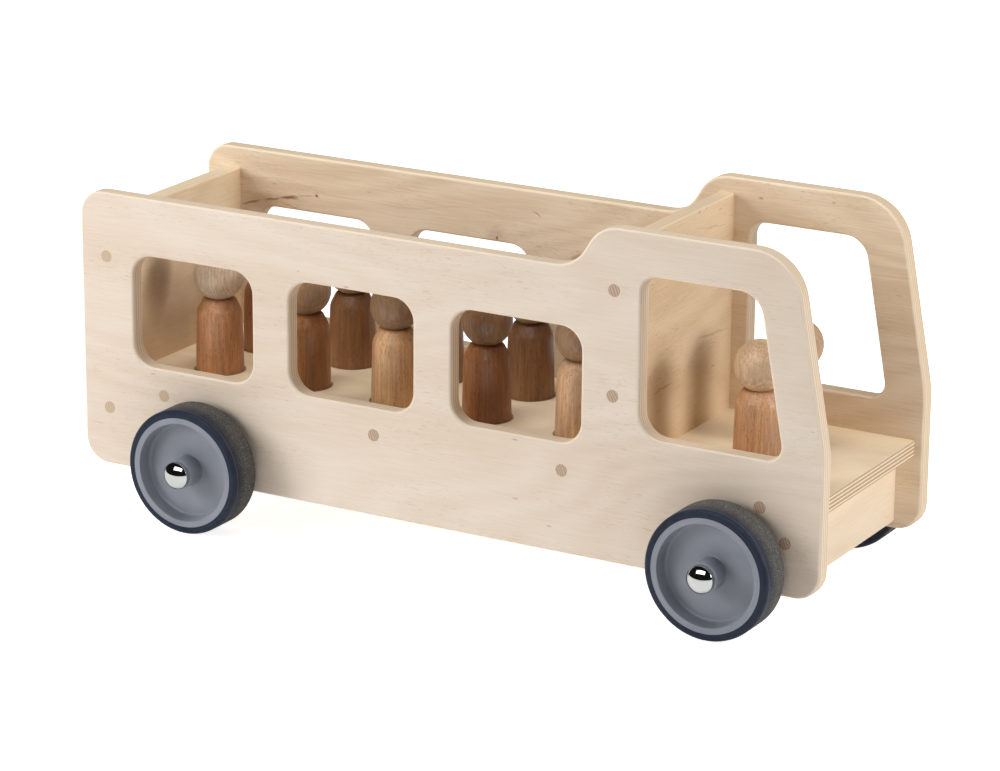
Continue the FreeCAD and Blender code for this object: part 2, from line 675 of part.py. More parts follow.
def make_cap(name, x, y, outward, turn):
    """A dome cap: where a cylinder and a ball overlap, with a blind bore for the rod."""
    rise = cell("cap_dome_height")
    height = cell("cap_skirt") + rise
    dome_radius = (cell("cap_radius") * cell("cap_radius") + rise * rise) / (rise * 2)
    barrel = primitive("Cylinder", name + "_barrel", turn, x, y, axle_z,
                       Radius=cell("cap_radius"), Height=height)
    ball_middle = cap_foot + height - dome_radius
    ball = primitive("Sphere", name + "_ball", None, x, ball_middle * outward, axle_z, Radius=dome_radius)
    dome = combined("Common", name + "_dome", barrel, ball)
    bore = primitive("Cylinder", name + "_bore", turn, x, y, axle_z,
                     Radius=cell("axle_radius") + cell("cap_press_gap"), Height=cell("cap_grip"))
    return combined("Cut", name, dome, bore)


for axle, axle_x in AXLE_PLACES.items():
    x = axle_x - half_length
    make_rod(axle + "_axle", x)
    washers, caps = [], []
    for side, outward, turn in (("near", -1, ABOUT_X_BACK), ("far", 1, ABOUT_X)):
        washer_y = (half_spread + cell("end_play")) * outward
        washers.append(ring("%s_%s_washer" % (axle, side), x, washer_y, turn, cell("washer_radius"),
                            cell("axle_radius") + cell("glue_gap"), cell("washer_thickness")))
        caps.append(make_cap("%s_%s_cap" % (axle, side), x, cap_foot * outward, outward, turn))
    grouped(axle + "_axle_washers", washers)
    grouped(axle + "_axle_caps", caps)
    sub_parts.extend([axle + "_axle", axle + "_axle_washers", axle + "_axle_caps"])

doc.recompute()

for thing in doc.Objects:
    if "Invalid" in thing.State or "Error" in thing.State:
        raise ValueError("%s did not build: %s" % (thing.Name, thing.State))

os.makedirs("parts", exist_ok=True)
for name in sub_parts:
    shape = doc.getObject(name).Shape
    if shape.isNull() or not shape.isValid():
        raise ValueError(name + " has no valid shape")
for name in sub_parts:
    doc.getObject(name).Shape.exportStep("parts/%s.step" % name)
print(len(sub_parts), "sub-parts written")
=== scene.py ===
# %% [markdown]
# # A wooden toy bus, dressed for the studio
# The bus is sawn from birch plywood, pegged together with beech dowels, and carries turned peg people.
# Its solid pieces come ready made and stay exactly where they are. This notebook gives each of them the
# finish of the real stock, adds the small moulded and pressed details, and lights the whole like a
# catalogue photograph.

# %% Load the solid pieces
import math

import bmesh
import bpy
import numpy as np
from mathutils import Matrix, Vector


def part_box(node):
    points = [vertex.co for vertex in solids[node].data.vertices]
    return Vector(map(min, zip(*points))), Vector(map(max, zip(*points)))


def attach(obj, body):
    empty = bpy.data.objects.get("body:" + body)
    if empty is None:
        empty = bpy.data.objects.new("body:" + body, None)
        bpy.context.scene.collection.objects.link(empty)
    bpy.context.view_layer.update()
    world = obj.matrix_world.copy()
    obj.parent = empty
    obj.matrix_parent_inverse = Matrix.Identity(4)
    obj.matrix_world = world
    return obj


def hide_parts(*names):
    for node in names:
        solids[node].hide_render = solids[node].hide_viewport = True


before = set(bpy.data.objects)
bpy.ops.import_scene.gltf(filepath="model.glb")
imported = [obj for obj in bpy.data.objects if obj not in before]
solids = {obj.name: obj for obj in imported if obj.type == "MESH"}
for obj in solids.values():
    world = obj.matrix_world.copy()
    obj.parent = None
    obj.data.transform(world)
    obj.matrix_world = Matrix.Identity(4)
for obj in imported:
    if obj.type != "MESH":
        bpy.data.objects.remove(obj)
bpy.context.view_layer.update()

# %% [markdown]
# ## The camera
# The viewpoint was worked out from the edges of the boards: a long lens, a little above the roof and
# thirty degrees round towards the cab. A camera can be aimed with a constraint, but here its three axes
# are simply written as the columns of its matrix, because the picture is also rolled by half a degree.

# %% Camera
AZIMUTH, ELEVATION, ROLL = np.radians([29.6009, 17.3343, 0.4378])
FOCAL_PIXELS, PICTURE_WIDTH = 3896.47, 1000
AIM = np.array([0.0010, 0.0, 0.1041])
OFFSET = np.array([-0.000806, -0.001452, -2.66741])

back = np.array([math.sin(AZIMUTH) * math.cos(ELEVATION),
                 -math.cos(AZIMUTH) * math.cos(ELEVATION), math.sin(ELEVATION)])
level = np.array([math.cos(AZIMUTH), math.sin(AZIMUTH), 0.0])
rise = np.cross(back, level)
right = math.cos(ROLL) * level + math.sin(ROLL) * rise
up = np.cross(back, right)
axes = np.stack([right, up, back], axis=1)
eye = AIM - axes @ OFFSET

camera = bpy.data.objects.new("camera", bpy.data.cameras.new("camera"))
bpy.context.scene.collection.objects.link(camera)
camera.data.sensor_width = 36.0
camera.data.lens = FOCAL_PIXELS * camera.data.sensor_width / PICTURE_WIDTH
camera.data.clip_end = 100.0
camera.matrix_world = Matrix(np.vstack([np.column_stack([axes, eye]), [0, 0, 0, 1]]).tolist())
bpy.context.scene.camera = camera
print("camera stands at", np.round(eye, 3))

# %% [markdown]
# ## Surfaces from arrays
# Every new shape here is a grid of points, worked out as one array, with a face between each four
# neighbours. A round shape closes on itself, so its last column joins its first.

# %% A mesh from a grid
def surface(name, grid):
    """A smooth object from points grid[i, j], with its last column joined to its first. Face (i, j) joins
    points (i, j), (i, j+1), (i+1, j+1) and (i+1, j)."""
    rows, columns = grid.shape[:2]
    index = np.arange(rows * columns).reshape(rows, columns)
    index = np.concatenate([index, index[:, :1]], axis=1)
    faces = np.stack([index[:-1, :-1], index[:-1, 1:], index[1:, 1:], index[1:, :-1]], axis=-1).reshape(-1, 4)
    mesh = bpy.data.meshes.new(name)
    mesh.from_pydata(grid.reshape(-1, 3).tolist(), [], faces.tolist())
    mesh.polygons.foreach_set("use_smooth", np.ones(len(faces), bool))
    mesh.update()
    made = bpy.data.objects.new(name, mesh)
    bpy.context.scene.collection.objects.link(made)
    return made


# %% [markdown]
# ## Colours
# Colours are read off a screen as numbers up to 255, while a shader wants the amount of light. One
# function turns the first into the second, so that the finishes below can be written as they look.

# %% Colours as seen
def seen(red, green, blue):
    """The shader's colour for one seen on screen: the screen's curve, undone for each channel."""
    share = np.array([red, green, blue]) / 255.0
    light = np.where(share <= 0.04045, share / 12.92, ((share + 0.055) / 1.055) ** 2.4)
    return (*light.tolist(), 1.0)


# %% [markdown]
# ## Writing a finish
# A node tree is easier to read as a sum than as a drawing. This helper adds one node for each step and
# hands back what comes out of it, so a finish is written from top to bottom like arithmetic.

# %% The finish helper
RELIEF_STRENGTH = 0.5


class Finish:
    """A material written line by line. Every method adds one node and gives back its output."""

    def __init__(self, name, **sockets):
        self.material = bpy.data.materials.new(name)
        self.material.use_nodes = True
        self.tree = self.material.node_tree
        self.tree.nodes.clear()
        self.shader = self.tree.nodes.new("ShaderNodeBsdfPrincipled")
        output = self.tree.nodes.new("ShaderNodeOutputMaterial")
        self.put(self.shader.outputs[0], output.inputs["Surface"])
        self.give(**sockets)

    def put(self, value, socket):
        """Link an output to a socket, or write a plain value on it."""
        if isinstance(value, bpy.types.NodeSocket):
            self.tree.links.new(value, socket)
        else:
            socket.default_value = value

    def give(self, **sockets):
        """Set the shader's own sockets: Base_Color is the socket called Base Color."""
        for name, value in sockets.items():
            self.put(value, self.shader.inputs[name.replace("_", " ")])

    def node(self, kind, inputs=(), result=0, **settings):
        made = self.tree.nodes.new("ShaderNode" + kind)
        for name, setting in settings.items():
            setattr(made, name, setting)
        for socket, value in enumerate(inputs):
            if value is not None:
                self.put(value, made.inputs[socket])
        return made.outputs[result]

    def math(self, operation, *numbers):
        return self.node("Math", numbers, operation=operation)

    def vector(self, operation, *vectors, result=0):
        return self.node("VectorMath", vectors, result, operation=operation)

    def noise(self, place, scales, detail=2.0, roughness=0.5):
        """Soft cloud of values from 0 to 1. scales says how fine it is along each axis."""
        fine = self.vector("MULTIPLY", place, scales)
        return self.node("TexNoise", (fine, None, 1.0, detail, roughness))

    def ease(self, value, low, high, start=0.0, end=1.0):
        """Smooth step from start at low to end at high."""
        return self.node("MapRange", (value, low, high, start, end), interpolation_type="SMOOTHSTEP")

    def blend(self, share, first, second, way="MIX"):
        """Colour from first to second."""
        made = self.tree.nodes.new("ShaderNodeMix")
        made.data_type, made.blend_type = "RGBA", way
        for socket, value in ((0, share), (6, first), (7, second)):
            self.put(value, made.inputs[socket])
        return made.outputs[2]

    def bump(self, height, depth):
        """Relief of a height from 0 to 1 that stands depth metres."""
        made = self.tree.nodes.new("ShaderNodeBump")
        for name, value in (("Height", height), ("Distance", depth), ("Strength", RELIEF_STRENGTH)):
            self.put(value, made.inputs[name])
        self.give(Normal=made.outputs[0])

    def whole_place(self):
        """The object coordinates as one vector."""
        return self.node("TexCoord", result="Object")

    def place(self, source="Object"):
        """The three object coordinates, or the three parts of the object's normal."""
        made = self.tree.nodes.new("ShaderNodeTexCoord")
        split = self.tree.nodes.new("ShaderNodeSeparateXYZ")
        self.put(made.outputs[source], split.inputs[0])
        return split.outputs

    def joined(self, x, y, z):
        return self.node("CombineXYZ", (x, y, z))


# %% [markdown]
# ## Plywood, all the way through
# Birch plywood is a stack of nine peeled sheets, each glued across the next. Painting stripes on the
# edges would never line up with the rounded arrises, so the finish is solid: it asks how deep a point
# lies in the board and which way the surface looks there. A cut across the fibres shows dark end grain,
# a cut along them stays pale, and the rounding of an edge lays the sheets bare by itself.

# %% Marks in the veneer
def mark(finish, place, spot, size, turn, deep):
    """One fleck, crack, pin knot or patch of painted shade: deep at its middle and 0 outside an oval of that
    size, which is turned by so many degrees."""
    made = finish.tree.nodes.new("ShaderNodeMapping")
    made.vector_type = "TEXTURE"
    finish.put(place, made.inputs["Vector"])
    made.inputs["Location"].default_value = (*spot, 0.0)
    made.inputs["Rotation"].default_value = (0.0, 0.0, math.radians(turn))
    made.inputs["Scale"].default_value = (*size, 1.0)
    away = finish.vector("LENGTH", made.outputs[0], result="Value")
    return finish.ease(away, 1.0, 0.25 * deep, 0.0, deep)


def vein(finish, along, across, line, width, deep):
    """A faint line across the board: the height of line over along is a + b sin(c x + d) + e sin(f x + g)."""
    a, b, c, d, e, f, g = line
    first = finish.math("SINE", finish.math("MULTIPLY_ADD", along, c, d))
    second = finish.math("SINE", finish.math("MULTIPLY_ADD", along, f, g))
    height = finish.math("MULTIPLY_ADD", second, e, finish.math("MULTIPLY_ADD", first, b, a))
    away = finish.math("ABSOLUTE", finish.math("SUBTRACT", across, height))
    return finish.ease(away, width, 0.0, 0.0, deep)


# the size and strength of the ring of painted shade round each recess in the floor
SHADE_RING_RADIUS, SHADE_RING_HALF_WIDTH, SHADE_RING_DEPTH = 0.0180, 0.00045, 0.8


def gap_shade_ring(finish, place, middle):
    """A thin dark circle round the middle: painted shade for the gap round a foot standing in its recess."""
    away = finish.vector("DISTANCE", place, (*middle, 0.0), result="Value")
    off = finish.math("ABSOLUTE", finish.math("SUBTRACT", away, SHADE_RING_RADIUS))
    return finish.ease(off, SHADE_RING_HALF_WIDTH, 0.4 * SHADE_RING_HALF_WIDTH, 0.0, SHADE_RING_DEPTH)


# %% The plywood finish
PLIES = 9
BOARD = 0.012
VENEER_LIGHT, VENEER_DARK = seen(236, 221, 202), seen(217, 195, 168)
VENEER_PORE, MARK_BROWN = seen(176, 140, 106), seen(140, 72, 30)
EDGE_LONG, EDGE_END, GLUE = seen(236, 217, 191), seen(216, 191, 160), seen(112, 84, 62)
# ARRIS_HIGHLIGHT is the colour of a painted highlight along every rounded arris
# GAP_SHADE_COLOUR is the painted shade in the gap round each recess
ARRIS_HIGHLIGHT, GAP_SHADE_COLOUR = seen(248, 236, 218), seen(74, 50, 36)
MARK_SHARE, GLUE_SHARE, ARRIS_HIGHLIGHT_SHARE = 0.85, 0.15, 0.15
RING_TURNS, PLY_RELIEF = 95.0, 0.00012
# the figure's noises, by how fine they are along the board, across it and through it
CLOUDS, FIELD, FIBRE = (3.5, 13.0, 13.0), (2.6, 8.5, 3.0), (42.0, 1100.0, 1100.0)
DASHES, PATCHES, FLECKS = (165.0, 1900.0, 1900.0), (9.0, 26.0, 26.0), (38.0, 150.0, 150.0)
WANDER, GRIT, WANDER_WIDTH = (60.0, 160.0, 60.0), (900.0, 900.0, 900.0), 0.006


def plywood(name, along, across, through, skin, drift, tint, figured, marks=(), veins=(), lines=1.0,
            marked_face=0.0, stain_or_shade=MARK_BROWN, end_tone=EDGE_END, recesses=()):
    """Nine plies counted from the face at coordinate skin on the axis through. along is the axis of the
    face grain. drift moves the figure, figured is its strength, marks are (spot, size, turn, deep) and
    veins (line, width, deep), both only on the face at skin, or on the other if marked_face is 1. Most marks
    are flecks and knots; on the rear wall they are patches of painted shade. stain_or_shade is their colour.
    lines is how strongly the sheets show on a cut edge, and end_tone their end grain. recesses are the
    middles of drilled recesses, each with a thin ring of painted shade round it."""
    finish = Finish(name, Specular_IOR_Level=0.35)
    at, facing = finish.place(), finish.place("Normal")
    flat = finish.joined(at[along], at[across], 0.0)
    depth = finish.math("MULTIPLY", finish.math("SUBTRACT", at[through], skin), PLIES / BOARD)
    moved = finish.math("ADD", at[along], drift)
    figure = finish.joined(moved, at[across], finish.math("ADD", at[through], drift))

    # broad clouds, contour lines of a peeled log, fine fibres
    clouds = finish.noise(figure, CLOUDS, 3.0)
    field = finish.noise(figure, FIELD, 1.0)
    rings = finish.math("SINE", finish.math("MULTIPLY", field, RING_TURNS))
    fibre = finish.noise(figure, FIBRE, 3.0, 0.6)
    shade = finish.math("MULTIPLY_ADD", rings, 0.10, finish.math("MULTIPLY_ADD", fibre, 0.8, clouds))
    tone = finish.ease(shade, 0.9 - 0.45 / figured, 0.9 + 0.45 / figured)
    veneer = finish.blend(tone, VENEER_LIGHT, VENEER_DARK)

    # short pores that gather in patches
    dashes = finish.noise(figure, DASHES, 1.0)
    patches = finish.noise(figure, PATCHES, 1.0)
    pores = finish.math("MULTIPLY", finish.ease(dashes, 0.62, 0.76), finish.ease(patches, 0.42, 0.62))
    veneer = finish.blend(finish.math("MULTIPLY", pores, 0.25 + 0.3 * figured), veneer, VENEER_PORE)

    # scattered flecks, then the marks and veins of this board; on the rear wall the marks are patches of
    # painted shade
    cell = finish.tree.nodes.new("ShaderNodeTexVoronoi")
    finish.put(finish.vector("MULTIPLY", figure, FLECKS), cell.inputs["Vector"])
    cell.inputs["Scale"].default_value = 1.0
    luck = finish.node("SeparateColor", (cell.outputs["Color"],))
    near_point = finish.ease(cell.outputs["Distance"], 0.13, 0.03)
    flecks = finish.math("MULTIPLY", near_point, finish.ease(luck, 0.9, 0.94))
    spots = finish.math("MULTIPLY", flecks, 0.5)
    wander = finish.noise(figure, WANDER)
    astray = finish.math("MULTIPLY_ADD", wander, WANDER_WIDTH, -WANDER_WIDTH / 2)
    ragged = finish.vector("ADD", flat, finish.joined(0.0, astray, 0.0))
    for spot, size, turn, deep in marks:
        spots = finish.math("MAXIMUM", spots, mark(finish, ragged, spot, size, turn, deep))
    sunk = spots
    for line, width, deep in veins:
        spots = finish.math("MAXIMUM", spots, vein(finish, at[along], at[across], line, width, deep))
    on_face = finish.ease(depth, PLIES / 2 - 0.1, PLIES / 2 + 0.1,
                          MARK_SHARE * (1 - marked_face), MARK_SHARE * marked_face)
    veneer = finish.blend(finish.math("MULTIPLY", spots, on_face), veneer, stain_or_shade)
    veneer = finish.blend(1.0, veneer, (*tint, 1.0), "MULTIPLY")

    # the cut edge: which sheet, which way its fibres run, and the glue between
    wave = finish.math("SINE", finish.math("MULTIPLY", depth, math.pi))
    off_middle = finish.math("ABSOLUTE", finish.math("SUBTRACT", depth, PLIES / 2))
    inside = finish.ease(off_middle, 3.9, 3.65)
    crossed = finish.math("MULTIPLY", finish.ease(wave, -0.1, -0.6), inside)
    look_along = finish.math("ABSOLUTE", facing[along])
    look_across = finish.math("ABSOLUTE", facing[across])
    cut = finish.math("MULTIPLY_ADD", crossed, finish.math("SUBTRACT", look_across, look_along), look_along)
    grit = finish.noise(figure, GRIT)
    end_grain = finish.math("MULTIPLY", finish.ease(cut, 0.25, 0.95), finish.ease(grit, 0.1, 0.6, 0.6, 1.0))
    sheets = finish.blend(finish.math("MULTIPLY", end_grain, min(lines, 1.0)), EDGE_LONG, end_tone)
    between = finish.ease(finish.math("ABSOLUTE", wave), 0.34, 0.05)
    gap = finish.math("MULTIPLY", between, inside)
    sheets = finish.blend(finish.math("MULTIPLY", gap, GLUE_SHARE * lines), sheets, GLUE)
    sheets = finish.blend(1.0, sheets, (*((1 + share) / 2 for share in tint), 1.0), "MULTIPLY")
    turned = finish.math("ABSOLUTE", facing[through])
    edge = finish.ease(turned, 0.93, 0.7)
    wood = finish.blend(finish.math("MAXIMUM", edge, inside), veneer, sheets)

    # painted highlight: the rounded arris is painted paler than the face, as where its rounding catches the
    # light
    painted_arris_highlight = finish.math("MULTIPLY", finish.ease(turned, 0.97, 0.85), finish.ease(turned, 0.35, 0.6))
    wood = finish.blend(finish.math("MULTIPLY", painted_arris_highlight, ARRIS_HIGHLIGHT_SHARE), wood, ARRIS_HIGHLIGHT)

    # painted shade: a thin dark ring round each recess, for the gap round a foot, which lies in shade
    gap_shade = 0.0
    for middle in recesses:
        gap_shade = finish.math("MAXIMUM", gap_shade, gap_shade_ring(finish, flat, middle))
    if recesses:
        wood = finish.blend(gap_shade, wood, GAP_SHADE_COLOUR)
    finish.give(Base_Color=wood, Roughness=finish.ease(fibre, 0.2, 0.8, 0.42, 0.6))
    relief = finish.math("SUBTRACT", finish.math("MULTIPLY", fibre, 0.5), finish.math("MAXIMUM", pores, sunk))
    finish.bump(relief, PLY_RELIEF)
    return finish.material


# %% Dressing a solid
X, Y, Z = 0, 1, 2


def dress(node, material):
    """Give a solid its finish: the material takes every slot that the solid has."""
    mesh = solids[node].data
    mesh.materials.clear()
    mesh.materials.append(material)


def middle_of(node, first=X, second=Y):
    """The middle of a solid's box, as its coordinates on two axes."""
    low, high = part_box(node)
    return (low[first] + high[first]) / 2, (low[second] + high[second]) / 2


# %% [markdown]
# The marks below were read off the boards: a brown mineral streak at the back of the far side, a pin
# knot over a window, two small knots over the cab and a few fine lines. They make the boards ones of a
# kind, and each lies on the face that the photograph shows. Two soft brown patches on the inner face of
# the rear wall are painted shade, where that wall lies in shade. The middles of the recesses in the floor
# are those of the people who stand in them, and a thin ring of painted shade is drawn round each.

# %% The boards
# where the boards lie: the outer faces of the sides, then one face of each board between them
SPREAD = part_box("far_side")[1].y
WALL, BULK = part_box("rear_wall")[0].x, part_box("bulkhead")[0].x
CROSS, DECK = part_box("front_crossboard")[0].x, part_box("floor")[0].z
FAR_MARKS = [((-0.2470, 0.1848), (0.014, 0.0017), 17, 0.85), ((-0.2294, 0.1898), (0.013, 0.0017), 13, 0.85),
             ((-0.2160, 0.1925), (0.011, 0.0021), 9, 1.0), ((-0.2000, 0.1955), (0.012, 0.0010), 10, 0.45),
             ((-0.2162, 0.1870), (0.012, 0.0010), -4, 0.45), ((-0.2380, 0.1868), (0.030, 0.0090), 14, 0.34),
             ((-0.1918, 0.1971), (0.0021, 0.0015), 0, 1.0),
             ((-0.0429, 0.1871), (0.0017, 0.0022), 0, 1.0), ((-0.0440, 0.1900), (0.013, 0.0085), 20, 0.30),
             ((-0.0111, 0.2085), (0.0052, 0.0006), -32, 0.8), ((0.1605, 0.2434), (0.0026, 0.0018), 0, 0.6),
             ((0.2142, 0.2473), (0.0024, 0.0014), 20, 0.5)]
FAR_VEINS = [((0.2013, 0.0034, 37.0, 3.7, 0.0012, 83.0, 1.2), 0.0010, 0.13)]
NEAR_MARKS = [((-0.1152, 0.1547), (0.0006, 0.0021), 0, 0.9), ((-0.1068, 0.1910), (0.0014, 0.0006), 10, 0.5),
              ((-0.0641, 0.1743), (0.0016, 0.0005), -12, 0.5)]
# REAR_PAINTED_SHADE: two soft dark patches of painted shade on the rear wall's inner face, where it lies in
# shade
REAR_PAINTED_SHADE = [((-0.0335, 0.1520), (0.026, 0.044), 0, 0.68), ((-0.010, 0.120), (0.030, 0.050), 0, 0.40)]
BULK_MARKS = [((0.045, 0.1530), (0.030, 0.0006), -5, 0.5), ((-0.026, 0.1338), (0.017, 0.0008), 6, 0.7),
              ((0.040, 0.2285), (0.034, 0.0005), -7, 0.4)]
SEATS = [middle_of(node) for node in solids if node.endswith("_body")]
NEAR_TINT, FAR_TINT, FLOOR_TINT = (1.04, 1.06, 1.12), (1.08, 1.05, 0.99), (1.13, 1.12, 1.02)
REAR_TINT, BULK_TINT = (1.18, 1.12, 0.98), (0.95, 0.84, 0.68)
# REAR_SHADE_BROWN is the colour of the painted shade on the rear wall
REAR_SHADE_BROWN, FLOOR_END = seen(112, 76, 44), seen(182, 150, 116)
dress("near_side", plywood("ply_near", X, Z, Y, -SPREAD, drift=1.7, tint=NEAR_TINT, figured=0.55,
                           marks=NEAR_MARKS))
dress("far_side", plywood("ply_far", X, Z, Y, SPREAD - BOARD, drift=5.2, tint=FAR_TINT, figured=1.3,
                          marks=FAR_MARKS, veins=FAR_VEINS))
dress("rear_wall", plywood("ply_rear", Y, Z, X, WALL, drift=3.1, tint=REAR_TINT, figured=0.9,
                           marks=REAR_PAINTED_SHADE, lines=0.4, marked_face=1.0, stain_or_shade=REAR_SHADE_BROWN))
dress("bulkhead", plywood("ply_bulkhead", Y, Z, X, BULK, drift=8.4, tint=BULK_TINT, figured=1.3,
                          marks=BULK_MARKS, lines=0.4, marked_face=1.0))
dress("front_crossboard", plywood("ply_cross", Y, Z, X, CROSS, drift=6.6, tint=FAR_TINT, figured=0.6))
dress("floor", plywood("ply_floor", X, Y, Z, DECK, drift=2.3, tint=FLOOR_TINT, figured=0.7, lines=3.0,
                       end_tone=FLOOR_END, recesses=SEATS))
print("boards dressed")


# %% [markdown]
# ## Turned beech
# The bodies are reddish steamed beech, the heads paler. Beech has faint growth rings and, all over, tiny
# dark dashes where its rays and vessels are cut. Because the finish is solid, the same tree rings show
# as long arches on the body and as arcs on the crown of the head.

# %% The beech finish
PITH_AWAY, BEECH_RELIEF = 0.021, 0.00008
BEECH_WOBBLE, BEECH_CLOUD = (55.0, 55.0, 9.0), (42.0, 42.0, 14.0)
BEECH_FIBRE, BEECH_VESSELS = (640.0, 640.0, 24.0), (2300.0, 2300.0, 260.0)
VESSEL_SHADE = 0.42


def beech(name, middle, light, dark, drift, ring=0.0030, lean=0.10, ringed=0.07, pored=0.6):
    """Growth rings a ring apart round a leaning pith beside the piece, and vessels as short dashes along
    the grain. drift picks the place in the log, and ringed and pored say how much rings and vessels show."""
    finish = Finish(name, Specular_IOR_Level=0.62)
    at = finish.place()
    x = finish.math("SUBTRACT", at[X], middle[0])
    y = finish.math("SUBTRACT", at[Y], middle[1])
    lean_x = finish.math("MULTIPLY_ADD", at[Z], lean, x)
    pith = finish.joined(finish.math("ADD", lean_x, PITH_AWAY * math.cos(drift)),
                         finish.math("ADD", y, PITH_AWAY * math.sin(drift)), 0.0)
    grain = finish.joined(finish.math("ADD", x, drift), finish.math("ADD", y, drift), at[Z])
    wobble = finish.noise(grain, BEECH_WOBBLE)
    away = finish.vector("LENGTH", pith, result="Value")
    turns = finish.math("MULTIPLY_ADD", wobble, 9.0, finish.math("MULTIPLY", away, 2 * math.pi / ring))
    rings = finish.ease(finish.math("SINE", turns), -0.6, 1.0)
    fibre = finish.noise(grain, BEECH_FIBRE, 3.0, 0.62)
    cloud = finish.noise(grain, BEECH_CLOUD)
    shade = finish.math("MULTIPLY_ADD", rings, ringed, finish.math("MULTIPLY_ADD", fibre, 0.95, cloud))
    wood = finish.blend(finish.ease(shade, 0.6, 1.35), light, dark)
    dashes = finish.ease(finish.noise(grain, BEECH_VESSELS, 1.0), 0.57, 0.70)
    deep = (*(VESSEL_SHADE * channel for channel in dark[:3]), 1.0)
    wood = finish.blend(finish.math("MULTIPLY", dashes, pored), wood, deep)
    finish.give(Base_Color=wood, Roughness=finish.ease(fibre, 0.2, 0.8, 0.32, 0.50))
    finish.bump(finish.math("SUBTRACT", finish.math("MULTIPLY", fibre, 0.6), dashes), BEECH_RELIEF)
    return finish.material


# %% The peg people
BODY_TONES = {
    "near_passenger_1": (222, 158, 110), "far_passenger_1": (188, 126, 80),
    "near_passenger_2": (186, 125, 73), "far_passenger_2": (180, 125, 78),
    "near_passenger_3": (246, 193, 140), "far_passenger_3": (188, 132, 90),
    "near_passenger_4": (163, 105, 61), "far_passenger_4": (158, 111, 70),
    "near_passenger_5": (230, 184, 140), "far_passenger_5": (192, 136, 94),
    "near_driver": (226, 171, 124), "far_driver": (212, 158, 114),
}
# the darker tones of the heads of near_passenger_2 to near_passenger_5 are painted shade: those heads sit
# under the near side's upper band, which shades them
HEAD_TONES_AND_SHADE = {
    "near_passenger_1": (226, 198, 168), "near_passenger_2": (180, 142, 106),
    "near_passenger_3": (168, 130, 96), "near_passenger_4": (152, 114, 80),
    "near_passenger_5": (170, 135, 102),
    "near_driver": (236, 198, 158), "far_driver": (208, 172, 136),
}
HEAD_TONE, BODY_SHADE, HEAD_SHADE = (206, 172, 136), 0.74, 0.76


def two_tones(tone, shade):
    """A tone as seen, and the same tone darkened to that share."""
    return seen(*tone), seen(*(shade * channel for channel in tone))


for number, (person, tone) in enumerate(BODY_TONES.items()):
    middle = middle_of(person + "_body")
    light, dark = two_tones(tone, BODY_SHADE)
    dress(person + "_body", beech("beech_body_%d" % number, middle, light, dark, 1.3 * number))
    light, dark = two_tones(HEAD_TONES_AND_SHADE.get(person, HEAD_TONE), HEAD_SHADE)
    dress(person + "_head", beech("beech_head_%d" % number, middle, light, dark, 2.1 * number + 0.7,
                                  ring=0.0022, ringed=0.12, pored=0.38))
print("peg people dressed:", len(BODY_TONES))


# %% [markdown]
# ## Dowel ends
# The dowels are cut flush, so only their end grain shows: a greyish brown disc with a few lighter bands
# where the growth rings cross it. The bands are the sine of the distance to a pith well outside. The
# rearmost dowels are paler.

# %% Dowels
DOWEL_LIGHT, DOWEL_DARK, DOWEL_PALE = seen(208, 180, 155), seen(166, 136, 113), seen(228, 206, 172)
DOWEL_RELIEF = 0.00006


def end_grain(name, light, dark):
    """Slanting bands across the disc, nearly 2 mm apart, and pores as fine dots."""
    finish = Finish(name, Roughness=0.62)
    at = finish.place()
    spot = finish.joined(at[X], at[Z], 0.0)
    slant = finish.math("MULTIPLY_ADD", at[X], 0.8, finish.math("MULTIPLY", at[Z], 0.35))
    wobble = finish.noise(spot, (230.0, 230.0, 1.0))
    turns = finish.math("MULTIPLY_ADD", wobble, 5.0, finish.math("MULTIPLY", slant, 3900.0))
    bands = finish.math("SINE", turns)
    pores = finish.noise(spot, (2600.0, 2600.0, 1.0), 1.0)
    shade = finish.math("MULTIPLY_ADD", bands, 0.2, finish.math("MULTIPLY_ADD", pores, 0.7, 0.15))
    wood = finish.blend(finish.ease(shade, 0.2, 0.85), light, dark)
    paler = finish.ease(at[X], -0.06, -0.13, 0.0, 0.36)
    finish.give(Base_Color=finish.blend(paler, wood, DOWEL_PALE))
    finish.bump(pores, DOWEL_RELIEF)
    return finish.material


dowel_wood = end_grain("dowel_ends", DOWEL_LIGHT, DOWEL_DARK)
for group in ("floor_dowels", "rear_wall_dowels", "bulkhead_dowels", "crossboard_dowels"):
    dress(group, dowel_wood)
print("dowels dressed")


# %% [markdown]
# ## Wheels
# Each wheel is two mouldings. The rim is a satin blue grey plastic with the faint grain of a sparked
# mould. The tyre is navy rubber: its side comes smooth and slightly glossy from the mould, and the tread
# is dull and picks up dust. The tread is told from the side by its distance from the axle and from the
# tyre's outer side.

# %% The rim's plastic
RIM_LIGHT, RIM_DARK, RIM_RELIEF = seen(141, 145, 155), seen(129, 133, 143), 0.00004


def rim_plastic(name, light, dark):
    """Soft clouds where the plastic flowed, and the fine grain of the mould."""
    finish = Finish(name)
    flow = finish.noise(finish.whole_place(), (26.0, 26.0, 26.0), 3.0)
    spark = finish.noise(finish.whole_place(), (2400.0, 2400.0, 2400.0), 1.0)
    finish.give(Base_Color=finish.blend(finish.ease(flow, 0.3, 0.75), light, dark))
    finish.give(Roughness=finish.ease(spark, 0.2, 0.8, 0.34, 0.5))
    finish.bump(spark, RIM_RELIEF)
    return finish.material


# %% The tyre's rubber
# SHOULDER_HIGHLIGHT is the colour of a painted highlight along the tyre's shoulder
SIDE_DARK, SIDE_LIGHT, SHOULDER_HIGHLIGHT = seen(30, 37, 54), seen(41, 48, 64), seen(96, 104, 124)
TREAD_DARK, TREAD_LIGHT = seen(55, 54, 55), seen(108, 105, 101)
DUST, SPECK = seen(93, 90, 86), seen(196, 194, 190)
TREAD_FROM, TREAD_FULL, SHOULDER_HIGHLIGHT_AT, TREAD_RELIEF = 0.0428, 0.0440, 0.0030, 0.00018


